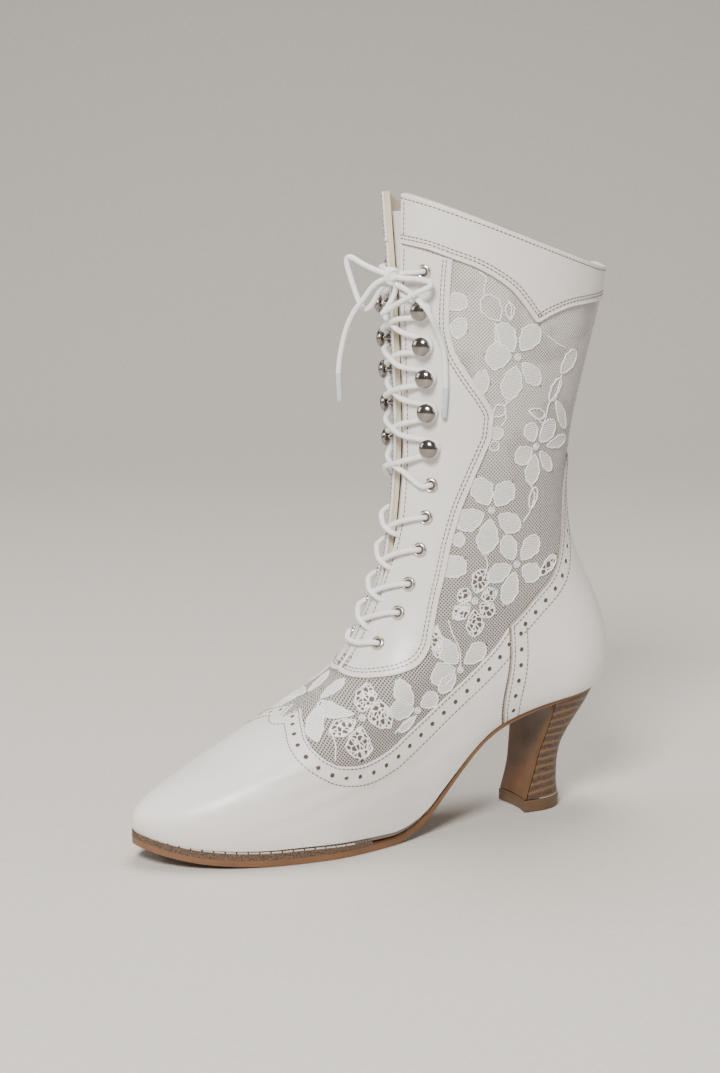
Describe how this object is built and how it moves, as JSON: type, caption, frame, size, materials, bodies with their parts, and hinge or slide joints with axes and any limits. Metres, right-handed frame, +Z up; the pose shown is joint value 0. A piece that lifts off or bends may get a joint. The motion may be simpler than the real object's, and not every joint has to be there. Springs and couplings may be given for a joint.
{
  "type": "ankle boot",
  "caption": "White leather lace-up ankle boot for the left foot, pointed toe, floral lace side panels, hooks and eyelets, tied bow, stacked spool heel.",
  "frame": {"origin": "on the ground under the middle of the boot's bounding box", "axes": "+Z up, -X towards the toe, +X towards the heel, -Y the outer (lateral) side of the left foot"},
  "size_m": [0.2593, 0.0816, 0.317],
  "materials": {
    "white_leather": "smooth, lightly creased, soft sheen",
    "upper_lining_and_lace": "lace over net outside, cloth lining inside",
    "cream_textile": "matt",
    "tan_leather": "smooth",
    "brown_rand": "rough",
    "stacked_leather": "stacked layers, satin",
    "polished_brown": "polished",
    "brown_rubber": "matt",
    "silver_metal": "polished",
    "dark_nickel": "polished dark",
    "white_lace_cord": "braided, matt",
    "pale_plastic": "gloss"
  },
  "bodies": {
    "root": {"upper": "upper_lining_and_lace", "vamp": "white_leather", "counter": "white_leather", "cuff": "white_leather", "facing_lateral": "white_leather", "facing_medial": "white_leather", "tongue": "cream_textile", "insole": "cream_textile", "outsole": "tan_leather", "welt": "brown_rand", "heel_block": "stacked_leather", "heel_breast": "polished_brown", "top_piece": "brown_rubber", "eyelet_lateral_1": "silver_metal", "eyelet_lateral_2": "silver_metal", "eyelet_lateral_3": "silver_metal", "eyelet_lateral_4": "silver_metal", "eyelet_lateral_5": "silver_metal", "eyelet_lateral_6": "silver_metal", "eyelet_lateral_7": "silver_metal", "hook_lateral_1": "dark_nickel", "hook_lateral_2": "dark_nickel", "hook_lateral_3": "dark_nickel", "hook_lateral_4": "dark_nickel", "hook_lateral_5": "dark_nickel", "eyelet_medial_1": "silver_metal", "eyelet_medial_2": "silver_metal", "eyelet_medial_3": "silver_metal", "eyelet_medial_4": "silver_metal", "eyelet_medial_5": "silver_metal", "eyelet_medial_6": "silver_metal", "eyelet_medial_7": "silver_metal", "hook_medial_1": "dark_nickel", "hook_medial_2": "dark_nickel", "hook_medial_3": "dark_nickel", "hook_medial_4": "dark_nickel", "hook_medial_5": "dark_nickel", "lace_bar_1": "white_lace_cord", "lace_cross_2": "white_lace_cord", "lace_cross_3": "white_lace_cord", "lace_cross_4": "white_lace_cord", "lace_cross_5": "white_lace_cord", "lace_hook_run": "white_lace_cord", "lace_top_lateral": "white_lace_cord", "lace_top_medial": "white_lace_cord", "bow_knot": "white_lace_cord", "bow_loop_medial": "white_lace_cord", "bow_loop_lateral": "white_lace_cord", "bow_end_medial": "white_lace_cord", "bow_end_lateral": "white_lace_cord", "aglet_medial": "pale_plastic", "aglet_lateral": "pale_plastic"}
  },
  "joints": []
}
